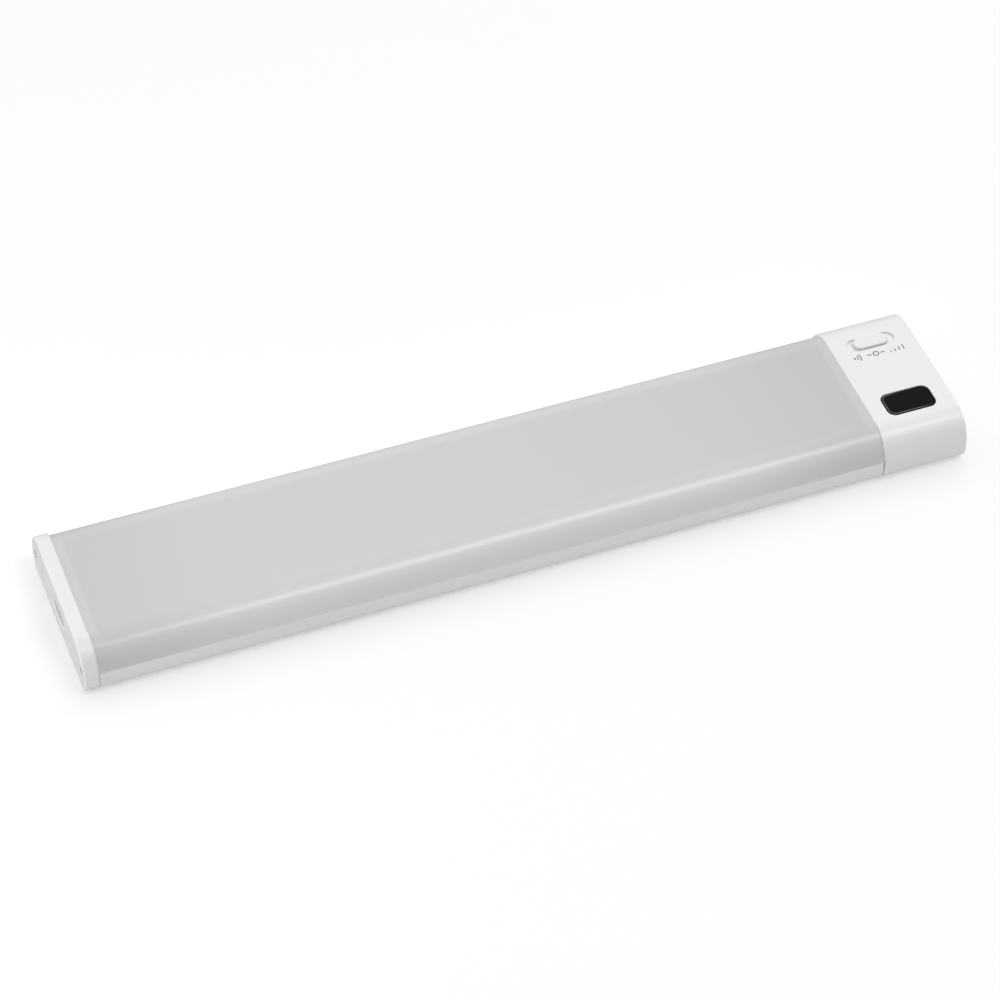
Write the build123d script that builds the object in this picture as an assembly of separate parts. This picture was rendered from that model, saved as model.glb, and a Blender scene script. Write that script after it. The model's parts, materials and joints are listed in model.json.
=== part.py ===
from build123d import *

import os

# Rechargeable LED light bar for cupboards and wardrobes, lying on its back with the milky cover up.
# X runs along the light from the USB end to the control end, Y across it and Z up from its flat back.
# The origin is the middle of the flat back. All lengths are millimetres.

# Overall shape
LENGTH = 200.0
WIDTH = 40.0
HEIGHT = 12.0
CAP_TOP_RADIUS = 6.7
TOP_RADIUS = 7.5
BOTTOM_RADIUS = 3.5
END_RADIUS = 0.4
SEAM_RADIUS = 0.25
USB_CAP_LENGTH = 3.2
CONTROL_CAP_LENGTH = 19.6

LEFT_END = -LENGTH / 2
RIGHT_END = LENGTH / 2
LEFT_SEAM = LEFT_END + USB_CAP_LENGTH
RIGHT_SEAM = RIGHT_END - CONTROL_CAP_LENGTH

# Shells: the tray and the diffuser stand just inside the caps' outline, and the tray stops short of the caps
SHELL_INSET = 0.2
USB_SEAM_GAP = 0.08
CONTROL_SEAM_GAP = 0.25
FLOOR = 1.2
TRAY_WALL = 1.4
DIFFUSER_WALL = 1.1
CAP_WALL = 1.4
SPLIT_Z = 5.9
TONGUE_DEPTH = 0.95
TONGUE_Y = (18.6, 19.1)
GROOVE_GAP = 0.05
SPIGOT_INSET = 1.35
SPIGOT_WALL = 0.8
SPIGOT_FLOOR_Z = 7.3
SPIGOT_LENGTH = 2.0
SPIGOT_ROOT = 0.5

# Screw channels along the tray, and the rails that hold the LED board between them
CHANNEL_Y = 17.25
CHANNEL_Z = 5.4
CHANNEL_RADIUS = 1.2
RAIL_INNER_Y = 14.3
RAIL_THICKNESS = 0.6
WEB_THICKNESS = 0.8

# Self-tapping screws and their seats
SHANK_RADIUS = 0.7
SHANK_CLEARANCE = 0.8
HEAD_RADIUS = 1.15
HEAD_HEIGHT = 0.9
SEAT_RADIUS = 1.25
SEAT_CHAMFER = 0.1
CAP_SCREW_LENGTH = 8.0
USB_SEAT_DEPTH = 1.5
CONTROL_SEAT_X = RIGHT_SEAM + 3.0
TUNNEL_RADIUS = 1.8
BOARD_SCREW_LENGTH = 3.4
BOARD_SHANK_RADIUS = 0.7
BOARD_HEAD_RADIUS = 1.2
BOARD_HEAD_HEIGHT = 0.8

# LED board and what is on it
BOARD_THICKNESS = 0.8
LED_BOARD_X = (-90.0, 78.5)
LED_BOARD_HALF_WIDTH = 15.2
LED_BOARD_Z = 5.6
LED_BOARD_TOP = LED_BOARD_Z + BOARD_THICKNESS
LED_SIZE = (3.5, 2.8, 0.8)
LED_CORNER_RADIUS = 0.2
LED_COLUMNS = 16
LED_ROW_Y = 6.5
LED_PITCH = 10.4
RESISTOR_SIZE = (1.6, 0.8, 0.5)
RESISTOR_COUNT = 8

# Battery and magnets
BATTERY_X = (-61.0, 29.0)
BATTERY_HALF_WIDTH = 13.0
BATTERY_THICKNESS = 3.5
BATTERY_CORNER_RADIUS = 1.2
TAPE_THICKNESS = 0.3
TAPE_END_MARGIN = 3.0
TAPE_SIDE_MARGIN = 1.0
PROTECTION_BOARD_HALF_WIDTH = 10.0
PROTECTION_BOARD_MARGIN = 0.1
MAGNET_RADIUS = 6.0
MAGNET_THICKNESS = 2.0
MAGNET_CHAMFER = 0.2
MAGNET_RECESS = 0.05
MAGNET_X = (-72.0, 42.0)
MAGNET_COVER_TOP = 3.0
MAGNET_COVER_WALL = 1.0

# USB-C inlet: the shell's outside is the standard 8.94 by 3.26
USB_WIDTH = 8.94
USB_HEIGHT = 3.26
USB_WALL = 0.3
USB_Z = 5.2
USB_MOUTH_X = LEFT_END + 1.2
USB_DEPTH = 7.4
USB_GAP = 0.08
USB_RIM_CHAMFER = 0.35
USB_TONGUE_WIDTH = 6.7
USB_TONGUE_THICKNESS = 0.7
USB_TONGUE_SETBACK = 1.0
USB_TONGUE_CHAMFER = 0.15
USB_BACK_PLATE = 1.2
CHARGE_BOARD_X = (LEFT_SEAM + 0.3, -80.5)
CHARGE_BOARD_HALF_WIDTH = 9.0
CHARGE_BOARD_TOP = USB_Z - USB_HEIGHT / 2
CHARGE_REST_Y = (6.0, 7.0)
CHARGER_CHIP_X = (-90.0, -85.1)
CHARGER_CHIP_Y = (-6.5, -2.6)
CHARGER_CHIP_HEIGHT = 1.5
INDUCTOR_X = (-90.0, -86.0)
INDUCTOR_Y = (2.6, 6.6)
INDUCTOR_HEIGHT = 1.8
INDUCTOR_CORNER_RADIUS = 0.8

# Slide switch with three positions
SWITCH_X = 89.9
SWITCH_Y = 10.15
SWITCH_TRAVEL = 1.5
RECESS_LENGTH = 11.4
RECESS_WIDTH = 3.8
RECESS_DEPTH = 0.5
RECESS_RIM = 0.12
KNOB_LENGTH = 8.1
KNOB_WIDTH = 3.4
KNOB_TOP_Z = 12.45
KNOB_RADIUS = 0.25
KNOB_LIFT = 0.1
STEM_LENGTH = 1.6
STEM_WIDTH = 1.3
STEM_BOTTOM_Z = 9.2
SLOT_GAP = 0.1
LEVER_LENGTH = 0.9
LEVER_WIDTH = 0.7
LEVER_TOP_Z = 10.4
SWITCH_CASE_LENGTH = 8.8
SWITCH_CASE_WIDTH = 4.0
SWITCH_CASE_HEIGHT = 3.3
SWITCH_CASE_WALL = 0.25
SWITCH_CASE_RADIUS = 0.4
SWITCH_BASE_THICKNESS = 0.8
SWITCH_PIN_RADIUS = 0.35
SWITCH_PIN_PITCH = 2.0
SWITCH_PIN_TAIL = 0.7
WIPER_LENGTH = 3.6
WIPER_WIDTH = 2.2
WIPER_THICKNESS = 0.5
WIPER_LIFT = 0.05
SLIDE_LENGTH = 4.4
SLIDE_WIDTH = 3.0
SLIDE_GAP = 0.1

# Sensor window and the infrared pair under it
WINDOW_X = 90.15
WINDOW_Y = -9.3
WINDOW_LENGTH = 11.5
WINDOW_WIDTH = 6.6
WINDOW_RADIUS = 1.9
WINDOW_GAP = 0.05
WINDOW_CHAMFER = 0.2
WINDOW_RIM = 0.08
WINDOW_SET_BACK = 0.02
WINDOW_EAR = 1.0
WINDOW_FLANGE = 0.7
WINDOW_FLANGE_INSET = 0.4
SHROUD_TOP_Z = 9.8
SHROUD_LENGTH = 10.0
SHROUD_WIDTH = 5.8
IR_OFFSET = 2.5
IR_WELL = 4.2
EMITTER_RADIUS = 1.5
EMITTER_SHOULDER = 2.4
EMITTER_RIM = 0.3
EMITTER_RIM_HEIGHT = 0.6
RECEIVER_SIZE = (3.6, 3.4, 2.2)
RECEIVER_LENS_RADIUS = 1.3

# Control board
CONTROL_BOARD_X = (82.2, 98.2)
CONTROL_BOARD_HALF_WIDTH = 13.8
CONTROL_BOARD_TOP = 5.6
CONTROL_BOARD_BOTTOM = CONTROL_BOARD_TOP - BOARD_THICKNESS
BOARD_SCREW_X = 96.8
BOARD_SCREW_Y = 12.3
POST_RADIUS = 1.6
REST_RIB_X = (83.0, 84.2)
REST_RIB_HALF_WIDTH = 4.0
WIFI_X = (85.6, 97.0)
WIFI_Y = (-3.8, 5.2)
WIFI_CHIP_X = (88.0, 92.0)
WIFI_CHIP_Y = (-1.4, 2.6)
WIFI_CHIP_HEIGHT = 0.9
SHIELD_X = (86.2, 94.2)
SHIELD_Y = (-3.2, 4.6)
SHIELD_HEIGHT = 1.8
SHIELD_WALL = 0.2
SHIELD_RADIUS = 0.3
CONTROLLER_X = (89.5, 94.5)
CONTROLLER_Y = (-0.5, 4.5)
CONTROLLER_HEIGHT = 0.9

# Supply connector under the control board
SOCKET_X = (84.4, 89.4)
SOCKET_Y = (-12.4, -6.6)
SOCKET_Z = (1.9, CONTROL_BOARD_BOTTOM)
SOCKET_WALL = 0.5
PLUG_Z = (SOCKET_Z[0] + SOCKET_WALL, SOCKET_Z[1] - SOCKET_WALL)
PLUG_OVERHANG = 1.2
PLUG_X = (SOCKET_X[0] - PLUG_OVERHANG, 88.0)

# Leads
LEAD_RADIUS = 0.5
ON_CHARGE_BOARD = CHARGE_BOARD_TOP + LEAD_RADIUS
ON_FLOOR = FLOOR + LEAD_RADIUS + 0.05
PAD_REACH = 2.0
BATTERY_PAD_Y = 2.2
CHARGE_PAD_Y = 1.2
BATTERY_LEAD_STRAIGHT = 6.0
BATTERY_LEAD_CROSSING = 7.0
BATTERY_LEAD_BEND = 12.0
SUPPLY_LEAD_Y = -14.1
SUPPLY_PAD_Y = -6.0
SUPPLY_LEAD_PITCH = 1.3
SUPPLY_LEAD_OFF_BOARD = 1.5
SUPPLY_LEAD_LAID_X = (BATTERY_X[0] - 4.0, RIGHT_SEAM - 14.0)
SUPPLY_LEAD_LEVEL_X = RIGHT_SEAM - 3.0
SUPPLY_LEAD_BEND = 4.0
LED_LEAD_Y = -7.0
LED_LEAD_PITCH = 1.6
LED_PAD_REACH = 3.0
LED_LEAD_OFF_BOARD = 0.9
CONTROL_LEAD_OFF_BOARD = 0.6
CONTROL_PAD_REACH = 2.2
LED_LEAD_BEND = 2.0

# Heights inside the switch
SWITCH_FLOOR_Z = CONTROL_BOARD_TOP + SWITCH_BASE_THICKNESS
SWITCH_TOP_Z = CONTROL_BOARD_TOP + SWITCH_CASE_HEIGHT
WIPER_Z = (SWITCH_FLOOR_Z + WIPER_LIFT, SWITCH_FLOOR_Z + WIPER_LIFT + WIPER_THICKNESS)
SLIDE_Z = (WIPER_Z[1], SWITCH_TOP_Z - SWITCH_CASE_WALL - SLIDE_GAP)

LOW_CORNER = (Align.MIN, Align.MIN, Align.MIN)
ON_BASE = (Align.CENTER, Align.CENTER, Align.MIN)
UNDER_TOP = (Align.CENTER, Align.CENTER, Align.MAX)


def block(x, y, z):
    """A box given by its low and high limits along each axis."""
    return Pos(x[0], y[0], z[0]) * Box(x[1] - x[0], y[1] - y[0], z[1] - z[0], align=LOW_CORNER)


def around(centre, half):
    """The low and high limits of a span centred on a value."""
    return (centre - half, centre + half)


def section(inset=0.0, floor=0.0, top_radius=TOP_RADIUS):
    """The light's cross-section, drawn in at the sides and top, with its underside at floor."""
    height = HEIGHT - inset - floor
    outline = Pos(0, floor + height / 2) * Rectangle(WIDTH - 2 * inset, height)
    outline = fillet(outline.vertices().sort_by(Axis.Y)[-2:], top_radius - inset)
    return fillet(outline.vertices().sort_by(Axis.Y)[:2], BOTTOM_RADIUS - inset)


def patch(y, z):
    """A rectangle in the cross-section, given by its limits."""
    return Pos(y[0], z[0]) * Rectangle(y[1] - y[0], z[1] - z[0], align=LOW_CORNER[:2])


def run(outline, start, end):
    """Extrudes an outline of the cross-section along X."""
    return extrude(Plane.YZ.offset(start) * outline, amount=end - start)


def prism(outline, x, y, bottom, top):
    """Extrudes an outline in the XY plane upwards from bottom to top."""
    return Pos(x, y, bottom) * extrude(outline, amount=top - bottom)


def rod(radius, x, y, z):
    """A round bar along X between the limits x."""
    return Pos(x[0], y, z) * Rot(0, 90, 0) * Cylinder(radius, x[1] - x[0], align=ON_BASE)


def both_sides(shape):
    """A solid and its mirror image on the other side of the light."""
    return shape + mirror(shape, Plane.XZ)


def both_halves(outline):
    """An outline of the cross-section and its mirror image on the other side."""
    return outline + mirror(outline, Plane.YZ)


def split_pair(shape_at):
    """The same piece on each side of the light, as two separate solids."""
    return Compound([shape_at(side).solid() for side in (-1, 1)])


def screw(head_radius, head_height, shank_radius, length):
    """A cross-head screw pointing down, with the underside of its head at the origin."""
    head = Cylinder(head_radius, head_height, align=ON_BASE)
    head = fillet(head.edges().sort_by(Axis.Z)[-1], 0.4 * head_height)
    depth = 0.5 * head_height
    for size in ((1.3 * head_radius, 0.3 * head_radius), (0.3 * head_radius, 1.3 * head_radius)):
        head -= Pos(0, 0, head_height) * Box(*size, 2 * depth)
    shank = Pos(0, 0, -length) * Cylinder(shank_radius, length, align=ON_BASE)
    shank = chamfer(shank.edges().sort_by(Axis.Z)[0], 0.5 * shank_radius)
    return head + shank


def lead(points, bend_radius):
    """A round insulated lead of straight runs joined by tangent arcs."""
    path = FilletPolyline(*points, radius=bend_radius)
    return sweep(Plane(origin=path @ 0, z_dir=path % 0) * Circle(LEAD_RADIUS), path=path)


def cap_block(start, end):
    """A cap's solid body, with its end edge and its seam edge rounded."""
    body = run(section(top_radius=CAP_TOP_RADIUS), start, end)
    faces = body.faces().sort_by(Axis.X)
    radii = (END_RADIUS, SEAM_RADIUS) if start == LEFT_END else (SEAM_RADIUS, END_RADIUS)
    body = fillet(faces[0].edges(), radii[0])
    return fillet(body.faces().sort_by(Axis.X)[-1].edges(), radii[1])


def screw_hole(end_x, seat_x, far_x):
    """A cap screw's hole: a chamfered mouth in the end face, a bore to the seat and a narrower passage."""
    turn = Rot(0, 90, 0) if end_x > 0 else Rot(0, -90, 0)
    mouth = Cone(SEAT_RADIUS, SEAT_RADIUS + SEAT_CHAMFER, SEAT_CHAMFER, align=UNDER_TOP)
    hole = Pos(end_x, CHANNEL_Y, CHANNEL_Z) * turn * mouth
    hole += rod(SEAT_RADIUS, sorted((end_x, seat_x)), CHANNEL_Y, CHANNEL_Z)
    return hole + rod(SHANK_CLEARANCE, sorted((seat_x, far_x)), CHANNEL_Y, CHANNEL_Z)


def spigot(start, end):
    """The curved lip by which a cap locates inside the diffuser."""
    ring = section(SPIGOT_INSET, FLOOR) - section(SPIGOT_INSET + SPIGOT_WALL, FLOOR)
    ring &= patch((-WIDTH, WIDTH), (SPIGOT_FLOOR_Z, HEIGHT))
    return run(ring, start, end)


def make_base_tray():
    tray = section(SHELL_INSET) & patch((-WIDTH, WIDTH), (0, SPLIT_Z))
    tray -= section(SHELL_INSET + TRAY_WALL, FLOOR)
    groove_z = SPLIT_Z - TONGUE_DEPTH - GROOVE_GAP
    tray -= both_halves(patch((0, TONGUE_Y[1] + GROOVE_GAP), (groove_z, HEIGHT)))
    tray += section(SHELL_INSET) & patch((-WIDTH / 2 + BOTTOM_RADIUS, WIDTH / 2 - BOTTOM_RADIUS), (0, FLOOR))
    channel = Pos(CHANNEL_Y, CHANNEL_Z) * Circle(CHANNEL_RADIUS)
    channel += patch(around(CHANNEL_Y, WEB_THICKNESS / 2), (FLOOR / 2, CHANNEL_Z))
    channel += patch((CHANNEL_Y, TONGUE_Y[1]), (groove_z - WEB_THICKNESS, groove_z))
    shelf_top = LED_BOARD_Z
    lip_bottom = LED_BOARD_TOP + GROOVE_GAP
    channel += patch((RAIL_INNER_Y, CHANNEL_Y), (shelf_top - RAIL_THICKNESS, shelf_top))
    channel += patch((RAIL_INNER_Y, CHANNEL_Y), (lip_bottom, lip_bottom + RAIL_THICKNESS))
    channel += patch((LED_BOARD_HALF_WIDTH + GROOVE_GAP, CHANNEL_Y), (shelf_top, lip_bottom + RAIL_THICKNESS))
    channel -= patch((0, LED_BOARD_HALF_WIDTH + GROOVE_GAP), (shelf_top, lip_bottom))
    channel -= Pos(CHANNEL_Y, CHANNEL_Z) * Circle(SHANK_RADIUS)
    solid = run(tray + both_halves(channel), LEFT_SEAM + USB_SEAM_GAP, RIGHT_SEAM - CONTROL_SEAM_GAP)
    cover = Cylinder(MAGNET_RADIUS + MAGNET_COVER_WALL, MAGNET_COVER_TOP - FLOOR / 2, align=ON_BASE)
    for x in MAGNET_X:
        solid += Pos(x, 0, FLOOR / 2) * cover
    for x in MAGNET_X:
        pocket = Cylinder(MAGNET_RADIUS + GROOVE_GAP, MAGNET_THICKNESS + MAGNET_RECESS, align=ON_BASE)
        solid -= Pos(x, 0, 0) * pocket
    rest_top = CHARGE_BOARD_TOP - BOARD_THICKNESS
    rest = block((CHARGE_BOARD_X[0] + 1, CHARGE_BOARD_X[1] - 1), CHARGE_REST_Y, (FLOOR / 2, rest_top))
    return solid + both_sides(rest)


def make_diffuser():
    shell = section(SHELL_INSET) - section(SHELL_INSET + DIFFUSER_WALL, FLOOR)
    shell &= patch((-WIDTH, WIDTH), (SPLIT_Z, HEIGHT))
    shell += both_halves(patch(TONGUE_Y, (SPLIT_Z - TONGUE_DEPTH, SPLIT_Z + 0.3)))
    return run(shell, LEFT_SEAM, RIGHT_SEAM)


def make_usb_end_cap():
    cap = cap_block(LEFT_END, LEFT_SEAM)
    cap += spigot(LEFT_SEAM - SPIGOT_ROOT, LEFT_SEAM + SPIGOT_LENGTH)
    port = SlotOverall(USB_WIDTH + 2 * USB_GAP, USB_HEIGHT + 2 * USB_GAP)
    cap -= run(Pos(0, USB_Z) * port, LEFT_END - 1, LEFT_SEAM + 1)
    rim = cap.faces().sort_by(Axis.X)[0].inner_wires()[0]
    cap = chamfer(rim.edges(), USB_RIM_CHAMFER)
    return cap - both_sides(screw_hole(LEFT_END, LEFT_END + USB_SEAT_DEPTH, LEFT_SEAM + 1))


def top_rim(part, x, y, length, width):
    """The edges, in the top face, of an opening centred on x and y."""
    level = part.edges().filter_by_position(Axis.Z, HEIGHT - 0.01, HEIGHT + 0.01)
    near = [edge for edge in level if abs(edge.center().X - x) < length / 2 + 0.1]
    return [edge for edge in near if abs(edge.center().Y - y) < width / 2 + 0.1]


def make_control_cap():
    cap = cap_block(RIGHT_SEAM, RIGHT_END)
    cap -= run(section(CAP_WALL, FLOOR), RIGHT_SEAM - 1, RIGHT_END - CAP_WALL)
    cap += spigot(RIGHT_SEAM - SPIGOT_LENGTH, RIGHT_SEAM + SPIGOT_LENGTH)
    cap += both_sides(rod(TUNNEL_RADIUS, (RIGHT_SEAM, RIGHT_END - CAP_WALL / 2), CHANNEL_Y, CHANNEL_Z))
    cap -= both_sides(screw_hole(RIGHT_END, CONTROL_SEAT_X, RIGHT_SEAM - 1))
    post_height = CONTROL_BOARD_BOTTOM - FLOOR / 2
    post = Pos(BOARD_SCREW_X, BOARD_SCREW_Y, FLOOR / 2) * Cylinder(POST_RADIUS, post_height, align=ON_BASE)
    hole = Pos(BOARD_SCREW_X, BOARD_SCREW_Y, FLOOR) * Cylinder(BOARD_SHANK_RADIUS, HEIGHT / 2, align=ON_BASE)
    cap += both_sides(post)
    cap -= both_sides(hole)
    rest_y = around(0, REST_RIB_HALF_WIDTH)
    cap += block(REST_RIB_X, rest_y, (FLOOR / 2, CONTROL_BOARD_BOTTOM))
    recess = SlotOverall(RECESS_LENGTH, RECESS_WIDTH)
    cap -= prism(recess, SWITCH_X, SWITCH_Y, HEIGHT - RECESS_DEPTH, HEIGHT + 1)
    slot = Rectangle(STEM_LENGTH + 2 * SWITCH_TRAVEL + 2 * SLOT_GAP, STEM_WIDTH + 2 * SLOT_GAP)
    cap -= prism(slot, SWITCH_X, SWITCH_Y, HEIGHT - CAP_WALL - 1, HEIGHT)
    opening = RectangleRounded(WINDOW_LENGTH + 2 * WINDOW_GAP, WINDOW_WIDTH + 2 * WINDOW_GAP, WINDOW_RADIUS)
    cap -= prism(opening, WINDOW_X, WINDOW_Y, HEIGHT - CAP_WALL - 1, HEIGHT + 1)
    cap = fillet(top_rim(cap, SWITCH_X, SWITCH_Y, RECESS_LENGTH, RECESS_WIDTH), RECESS_RIM)
    return chamfer(top_rim(cap, WINDOW_X, WINDOW_Y, WINDOW_LENGTH, WINDOW_WIDTH), WINDOW_RIM)


def make_usb_cap_screws():
    def screw_at(side):
        seat = Pos(LEFT_END + USB_SEAT_DEPTH, side * CHANNEL_Y, CHANNEL_Z) * Rot(0, -90, 0)
        return seat * screw(HEAD_RADIUS, HEAD_HEIGHT, SHANK_RADIUS, CAP_SCREW_LENGTH)

    return split_pair(screw_at)


def make_control_cap_screws():
    def screw_at(side):
        seat = Pos(CONTROL_SEAT_X, side * CHANNEL_Y, CHANNEL_Z) * Rot(0, 90, 0)
        return seat * screw(HEAD_RADIUS, HEAD_HEIGHT, SHANK_RADIUS, CAP_SCREW_LENGTH)

    return split_pair(screw_at)


def make_magnets():
    disc = Cylinder(MAGNET_RADIUS, MAGNET_THICKNESS, align=ON_BASE)
    disc = chamfer(disc.edges().filter_by(GeomType.CIRCLE), MAGNET_CHAMFER)
    return Compound([(Pos(x, 0, MAGNET_RECESS) * disc).solid() for x in MAGNET_X])


def led_column_x(index):
    """Where each column of LEDs stands along the board."""
    middle = sum(LED_BOARD_X) / 2
    return middle + (index - (LED_COLUMNS - 1) / 2) * LED_PITCH


def make_led_board():
    half = LED_BOARD_HALF_WIDTH
    return block(LED_BOARD_X, (-half, half), (LED_BOARD_Z, LED_BOARD_TOP))


def make_led_chips():
    chip = Box(*LED_SIZE, align=ON_BASE)
    chip = fillet(chip.edges().filter_by(Axis.Z), LED_CORNER_RADIUS)
    places = [(led_column_x(i), side * LED_ROW_Y) for i in range(LED_COLUMNS) for side in (-1, 1)]
    return Compound([(Pos(x, y, LED_BOARD_TOP) * chip).solid() for x, y in places])


def make_led_resistors():
    resistor = Box(*RESISTOR_SIZE, align=ON_BASE)
    step = LED_COLUMNS // RESISTOR_COUNT
    places = [led_column_x(step * i) + LED_PITCH / 2 for i in range(RESISTOR_COUNT)]
    return Compound([(Pos(x, 0, LED_BOARD_TOP) * resistor).solid() for x in places])


def make_battery_tape():
    half = BATTERY_HALF_WIDTH - TAPE_SIDE_MARGIN
    x = (BATTERY_X[0] + TAPE_END_MARGIN, BATTERY_X[1] - TAPE_END_MARGIN)
    return block(x, (-half, half), (FLOOR, FLOOR + TAPE_THICKNESS))


def make_battery_cell():
    bottom = FLOOR + TAPE_THICKNESS
    half = BATTERY_HALF_WIDTH
    cell = block(BATTERY_X, (-half, half), (bottom, bottom + BATTERY_THICKNESS))
    return fillet(cell.edges().filter_by(Axis.X), BATTERY_CORNER_RADIUS)


def make_battery_protection_board():
    bottom = FLOOR + TAPE_THICKNESS
    limits = (bottom + PROTECTION_BOARD_MARGIN, bottom + BATTERY_THICKNESS - PROTECTION_BOARD_MARGIN)
    half = PROTECTION_BOARD_HALF_WIDTH
    return block((BATTERY_X[0] - BOARD_THICKNESS, BATTERY_X[0]), (-half, half), limits)


def make_charge_board():
    half = CHARGE_BOARD_HALF_WIDTH
    return block(CHARGE_BOARD_X, (-half, half), (CHARGE_BOARD_TOP - BOARD_THICKNESS, CHARGE_BOARD_TOP))


def make_charger_chip():
    top = CHARGE_BOARD_TOP + CHARGER_CHIP_HEIGHT
    return block(CHARGER_CHIP_X, CHARGER_CHIP_Y, (CHARGE_BOARD_TOP, top))


def make_charge_inductor():
    coil = block(INDUCTOR_X, INDUCTOR_Y, (CHARGE_BOARD_TOP, CHARGE_BOARD_TOP + INDUCTOR_HEIGHT))
    return fillet(coil.edges().filter_by(Axis.Z), INDUCTOR_CORNER_RADIUS)


def make_usb_shell():
    outer = SlotOverall(USB_WIDTH, USB_HEIGHT)
    inner = SlotOverall(USB_WIDTH - 2 * USB_WALL, USB_HEIGHT - 2 * USB_WALL)
    return run(Pos(0, USB_Z) * (outer - inner), USB_MOUTH_X, USB_MOUTH_X + USB_DEPTH)


def make_usb_tongue():
    back = USB_MOUTH_X + USB_DEPTH
    filling = SlotOverall(USB_WIDTH - 2 * USB_WALL, USB_HEIGHT - 2 * USB_WALL)
    plate = run(Pos(0, USB_Z) * filling, back - USB_BACK_PLATE, back)
    half = USB_TONGUE_WIDTH / 2
    blade_z = around(USB_Z, USB_TONGUE_THICKNESS / 2)
    blade = block((USB_MOUTH_X + USB_TONGUE_SETBACK, back - USB_BACK_PLATE), (-half, half), blade_z)
    return plate + chamfer(blade.faces().sort_by(Axis.X)[0].edges(), USB_TONGUE_CHAMFER)


def make_control_board():
    half = CONTROL_BOARD_HALF_WIDTH
    board = block(CONTROL_BOARD_X, (-half, half), (CONTROL_BOARD_BOTTOM, CONTROL_BOARD_TOP))
    hole = Pos(BOARD_SCREW_X, BOARD_SCREW_Y, CONTROL_BOARD_BOTTOM)
    board -= both_sides(hole * Cylinder(BOARD_SHANK_RADIUS + 0.1, 2 * BOARD_THICKNESS))
    for x in switch_pin_places():
        board -= Pos(x, SWITCH_Y, CONTROL_BOARD_BOTTOM) * Cylinder(SWITCH_PIN_RADIUS, 2 * BOARD_THICKNESS)
    return board


def make_control_board_screws():
    def screw_at(side):
        seat = Pos(BOARD_SCREW_X, side * BOARD_SCREW_Y, CONTROL_BOARD_TOP)
        return seat * screw(BOARD_HEAD_RADIUS, BOARD_HEAD_HEIGHT, BOARD_SHANK_RADIUS, BOARD_SCREW_LENGTH)

    return split_pair(screw_at)


def switch_pin_places():
    """Where the switch's four pins go through the board."""
    return [SWITCH_X + (i - 1.5) * SWITCH_PIN_PITCH for i in range(4)]


def make_switch_case():
    half_length = SWITCH_CASE_LENGTH / 2
    half_width = SWITCH_CASE_WIDTH / 2
    wall = SWITCH_CASE_WALL
    outer = block(
        around(SWITCH_X, half_length), around(SWITCH_Y, half_width), (CONTROL_BOARD_TOP, SWITCH_TOP_Z)
    )
    outer = fillet(outer.edges().filter_by(Axis.Z), SWITCH_CASE_RADIUS)
    inner = block(
        around(SWITCH_X, half_length - wall),
        around(SWITCH_Y, half_width - wall),
        (CONTROL_BOARD_TOP - 1, SWITCH_TOP_Z - wall),
    )
    slot_half = LEVER_LENGTH / 2 + SWITCH_TRAVEL + SLOT_GAP
    slot = block(
        around(SWITCH_X, slot_half),
        around(SWITCH_Y, LEVER_WIDTH / 2 + SLOT_GAP),
        (SWITCH_TOP_Z - 1, SWITCH_TOP_Z + 1),
    )
    return outer - inner - slot


def make_switch_base():
    wall = SWITCH_CASE_WALL
    return block(
        around(SWITCH_X, SWITCH_CASE_LENGTH / 2 - wall),
        around(SWITCH_Y, SWITCH_CASE_WIDTH / 2 - wall),
        (CONTROL_BOARD_TOP, SWITCH_FLOOR_Z),
    )


def make_switch_terminals():
    pin = Cylinder(SWITCH_PIN_RADIUS, BOARD_THICKNESS + SWITCH_PIN_TAIL, align=ON_BASE)
    bottom = CONTROL_BOARD_BOTTOM - SWITCH_PIN_TAIL
    return Compound([(Pos(x, SWITCH_Y, bottom) * pin).solid() for x in switch_pin_places()])


def make_switch_wiper():
    return block(around(SWITCH_X, WIPER_LENGTH / 2), around(SWITCH_Y, WIPER_WIDTH / 2), WIPER_Z)


def make_switch_actuator():
    slide = block(around(SWITCH_X, SLIDE_LENGTH / 2), around(SWITCH_Y, SLIDE_WIDTH / 2), SLIDE_Z)
    lever = block(
        around(SWITCH_X, LEVER_LENGTH / 2),
        around(SWITCH_Y, LEVER_WIDTH / 2),
        (SLIDE_Z[0], LEVER_TOP_Z),
    )
    return slide + lever


def make_switch_knob():
    bottom = HEIGHT - RECESS_DEPTH + KNOB_LIFT
    pad = prism(SlotOverall(KNOB_LENGTH, KNOB_WIDTH), SWITCH_X, SWITCH_Y, bottom, KNOB_TOP_Z)
    pad = fillet(pad.faces().sort_by(Axis.Z)[-1].edges(), KNOB_RADIUS)
    stem = block(
        around(SWITCH_X, STEM_LENGTH / 2),
        around(SWITCH_Y, STEM_WIDTH / 2),
        (STEM_BOTTOM_Z, bottom + 0.5),
    )
    socket = block(
        around(SWITCH_X, LEVER_LENGTH / 2),
        around(SWITCH_Y, LEVER_WIDTH / 2),
        (STEM_BOTTOM_Z - 1, LEVER_TOP_Z),
    )
    return pad + stem - socket


def make_sensor_window():
    ceiling = HEIGHT - CAP_WALL
    pane = RectangleRounded(WINDOW_LENGTH, WINDOW_WIDTH, WINDOW_RADIUS)
    body = prism(pane, WINDOW_X, WINDOW_Y, ceiling - WINDOW_FLANGE, HEIGHT - WINDOW_SET_BACK)
    body = chamfer(body.faces().sort_by(Axis.Z)[-1].edges(), WINDOW_CHAMFER)
    inset = WINDOW_FLANGE_INSET
    flange = RectangleRounded(WINDOW_LENGTH + 2 * WINDOW_EAR, WINDOW_WIDTH - inset, WINDOW_RADIUS - inset)
    return body + prism(flange, WINDOW_X, WINDOW_Y, ceiling - WINDOW_FLANGE, ceiling)


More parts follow.
